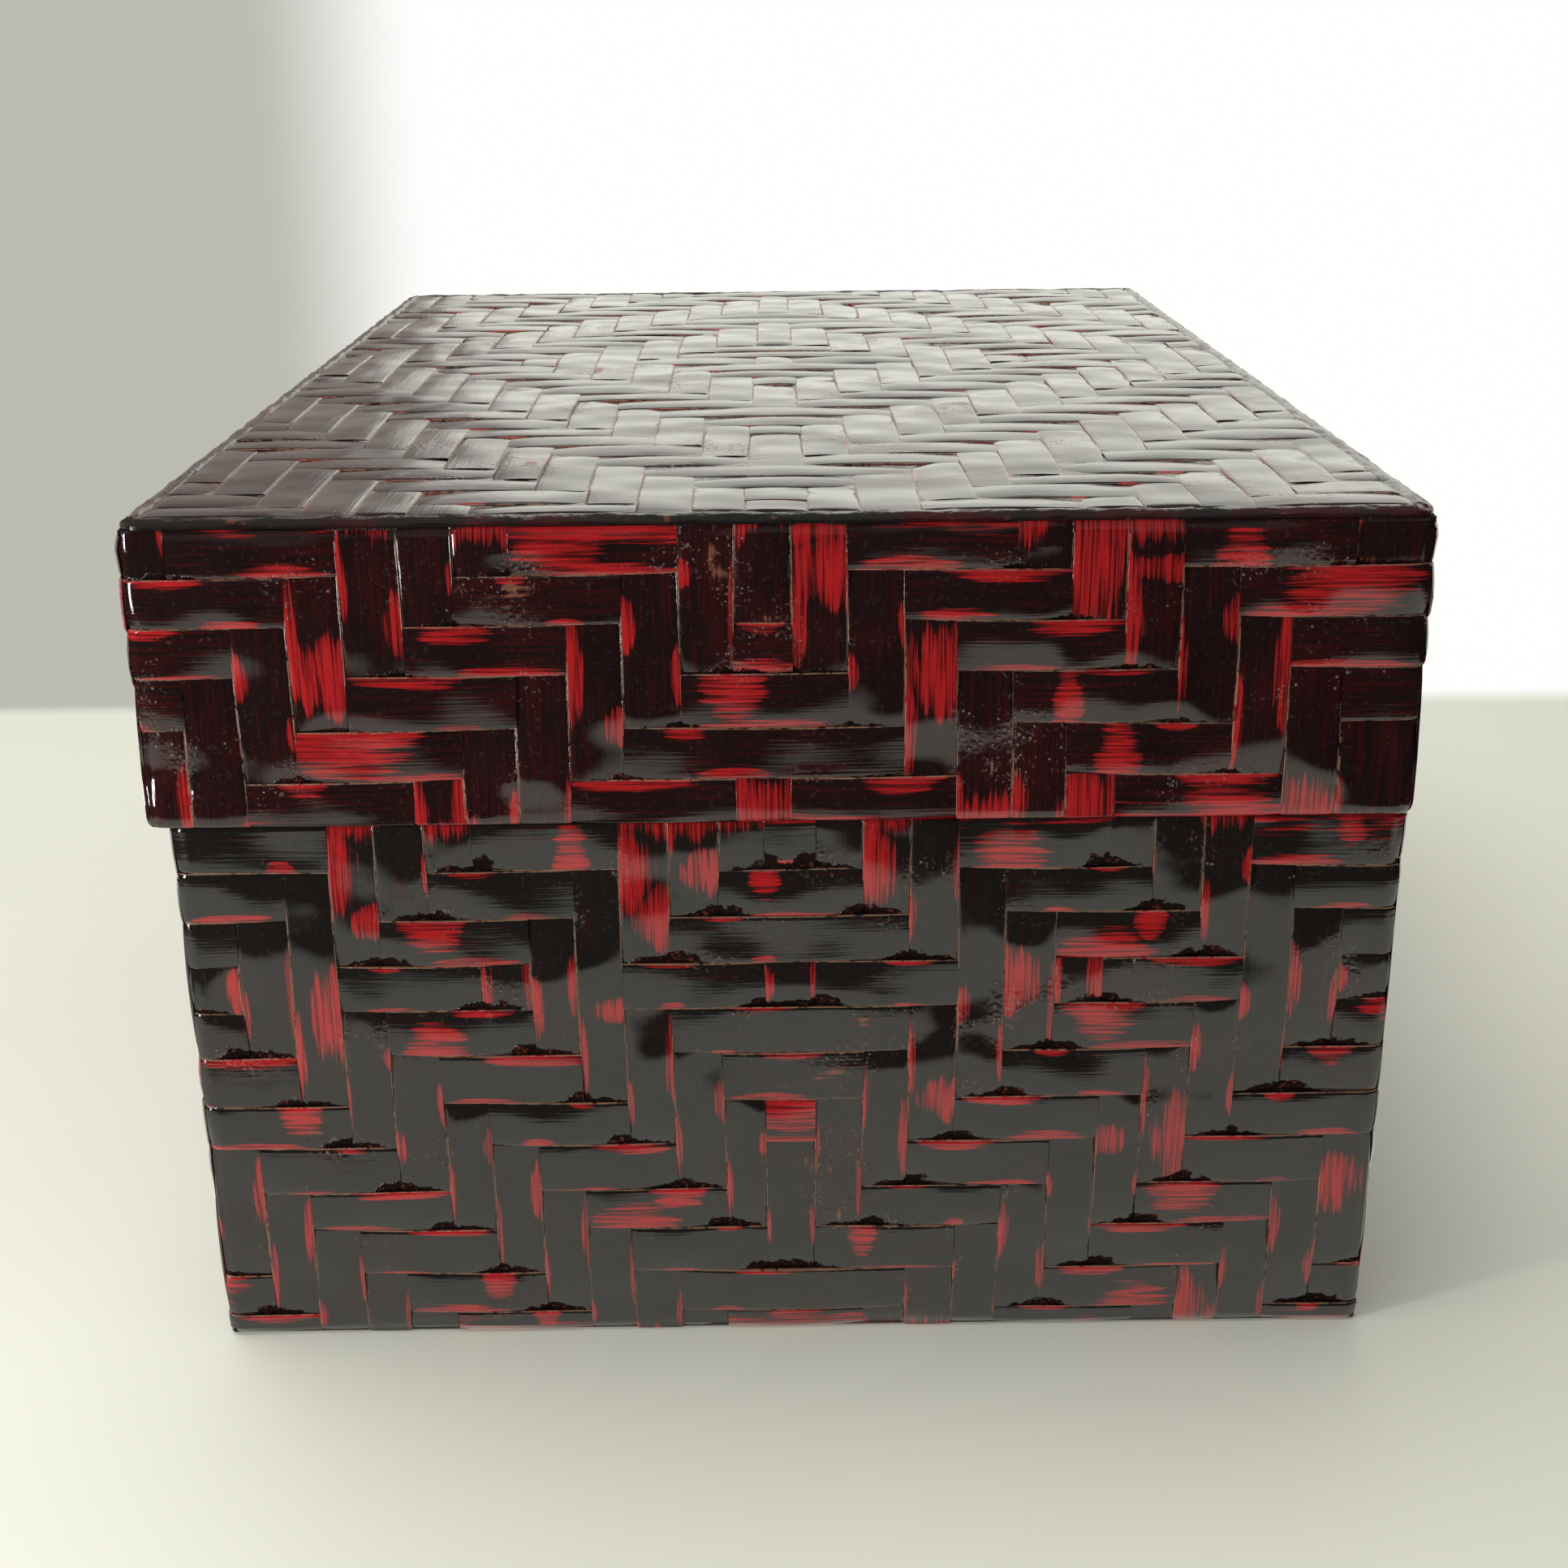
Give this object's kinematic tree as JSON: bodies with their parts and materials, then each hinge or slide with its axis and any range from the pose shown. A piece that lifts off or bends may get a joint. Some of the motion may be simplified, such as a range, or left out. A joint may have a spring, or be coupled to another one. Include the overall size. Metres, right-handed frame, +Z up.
{
  "type": "lacquered bamboo box",
  "caption": "Rectangular woven-bamboo box with a lift-off lid, lacquered red and black over thin wooden boards.",
  "frame": {"origin": "middle of the lid's outline, at the height of the table the box stands on", "axes": "+Z up, the way the lid lifts; the short front face looks towards -Y; +X is the right side seen from the front"},
  "size_m": [0.1796, 0.2496, 0.129],
  "materials": {
    "wall_mat_lacquer": "gloss urushi lacquer over woven bamboo, red rubbed through black",
    "top_mat_lacquer": "gloss urushi lacquer over woven bamboo, darker than the walls",
    "board_lacquer": "satin black-brown lacquer on thin boards",
    "collar_lacquer": "satin black-brown lacquer on thin strips"
  },
  "bodies": {
    "base": {"base_floor_board": "board_lacquer", "base_front_board": "board_lacquer", "base_back_board": "board_lacquer", "base_left_board": "board_lacquer", "base_right_board": "board_lacquer", "collar_front": "collar_lacquer", "collar_back": "collar_lacquer", "collar_left": "collar_lacquer", "collar_right": "collar_lacquer", "base_front_mat": "wall_mat_lacquer", "base_back_mat": "wall_mat_lacquer", "base_left_mat": "wall_mat_lacquer", "base_right_mat": "wall_mat_lacquer"},
    "lid": {"lid_top_board": "board_lacquer", "lid_front_board": "board_lacquer", "lid_back_board": "board_lacquer", "lid_left_board": "board_lacquer", "lid_right_board": "board_lacquer", "lid_front_mat": "wall_mat_lacquer", "lid_back_mat": "wall_mat_lacquer", "lid_left_mat": "wall_mat_lacquer", "lid_right_mat": "wall_mat_lacquer", "lid_top_mat": "top_mat_lacquer"}
  },
  "joints": [
    {"name": "lid_lift", "type": "slide", "parent": "base", "child": "lid", "axis": [0, 0, 1], "range_m": [0, 0.15]}
  ]
}
